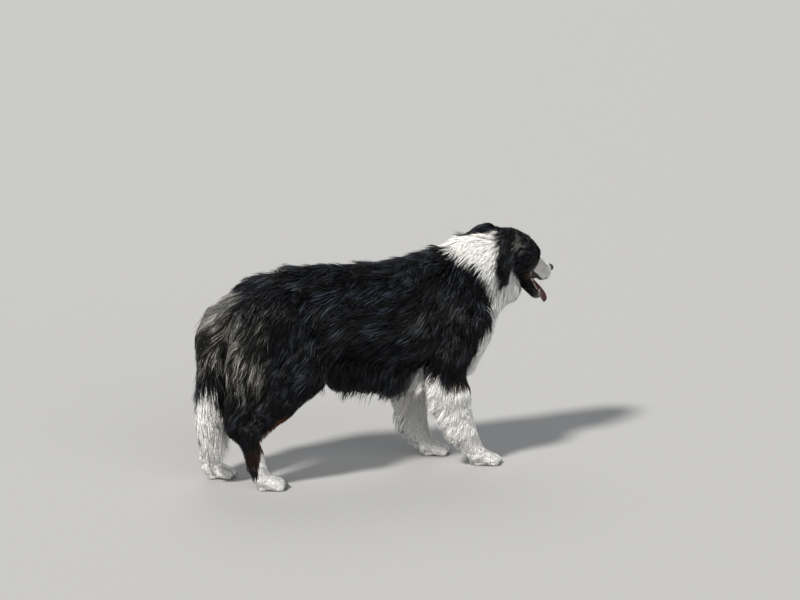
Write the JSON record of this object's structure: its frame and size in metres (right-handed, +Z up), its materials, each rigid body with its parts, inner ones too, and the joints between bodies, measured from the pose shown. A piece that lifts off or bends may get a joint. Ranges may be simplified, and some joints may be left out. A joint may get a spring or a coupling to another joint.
{
  "type": "dog",
  "caption": "Long-coated tricolour herding dog, standing with its head turned and its mouth open, as a still life-size model.",
  "frame": {"origin": "on the floor, under the middle of the dog's bounding box", "axes": "+X from tail to head along the body, +Y to the dog's left, +Z up"},
  "size_m": [0.9836, 0.2446, 0.6049],
  "materials": {
    "coat_black": "long glossy black hair with brown and grey sun-bleached ends",
    "coat_white": "long soft white hair",
    "coat_tan": "short rust-brown hair",
    "nose": "moist pebbled black leather",
    "eye": "wet dark brown",
    "tongue": "wet dark pink",
    "tooth": "ivory enamel",
    "claw": "dark horn"
  },
  "bodies": {
    "root": {"head": "coat_black", "ear_left": "coat_black", "ear_right": "coat_black", "lower_jaw": "coat_black", "nose": "nose", "eye_left": "eye", "eye_right": "eye", "tongue": "tongue", "neck": "coat_white", "chest": "coat_black", "ribcage": "coat_black", "loin": "coat_black", "rump": "coat_black", "tail_base": "coat_black", "tail_middle": "coat_black", "tail_tip": "coat_white", "upper_arm_left": "coat_black", "upper_arm_right": "coat_black", "forearm_left": "coat_white", "forearm_right": "coat_white", "forepaw_left": "coat_white", "forepaw_right": "coat_white", "thigh_left": "coat_black", "thigh_right": "coat_black", "second_thigh_left": "coat_black", "second_thigh_right": "coat_black", "pastern_left": "coat_white", "pastern_right": "coat_tan", "hindpaw_left": "coat_white", "hindpaw_right": "coat_white"}
  },
  "joints": []
}
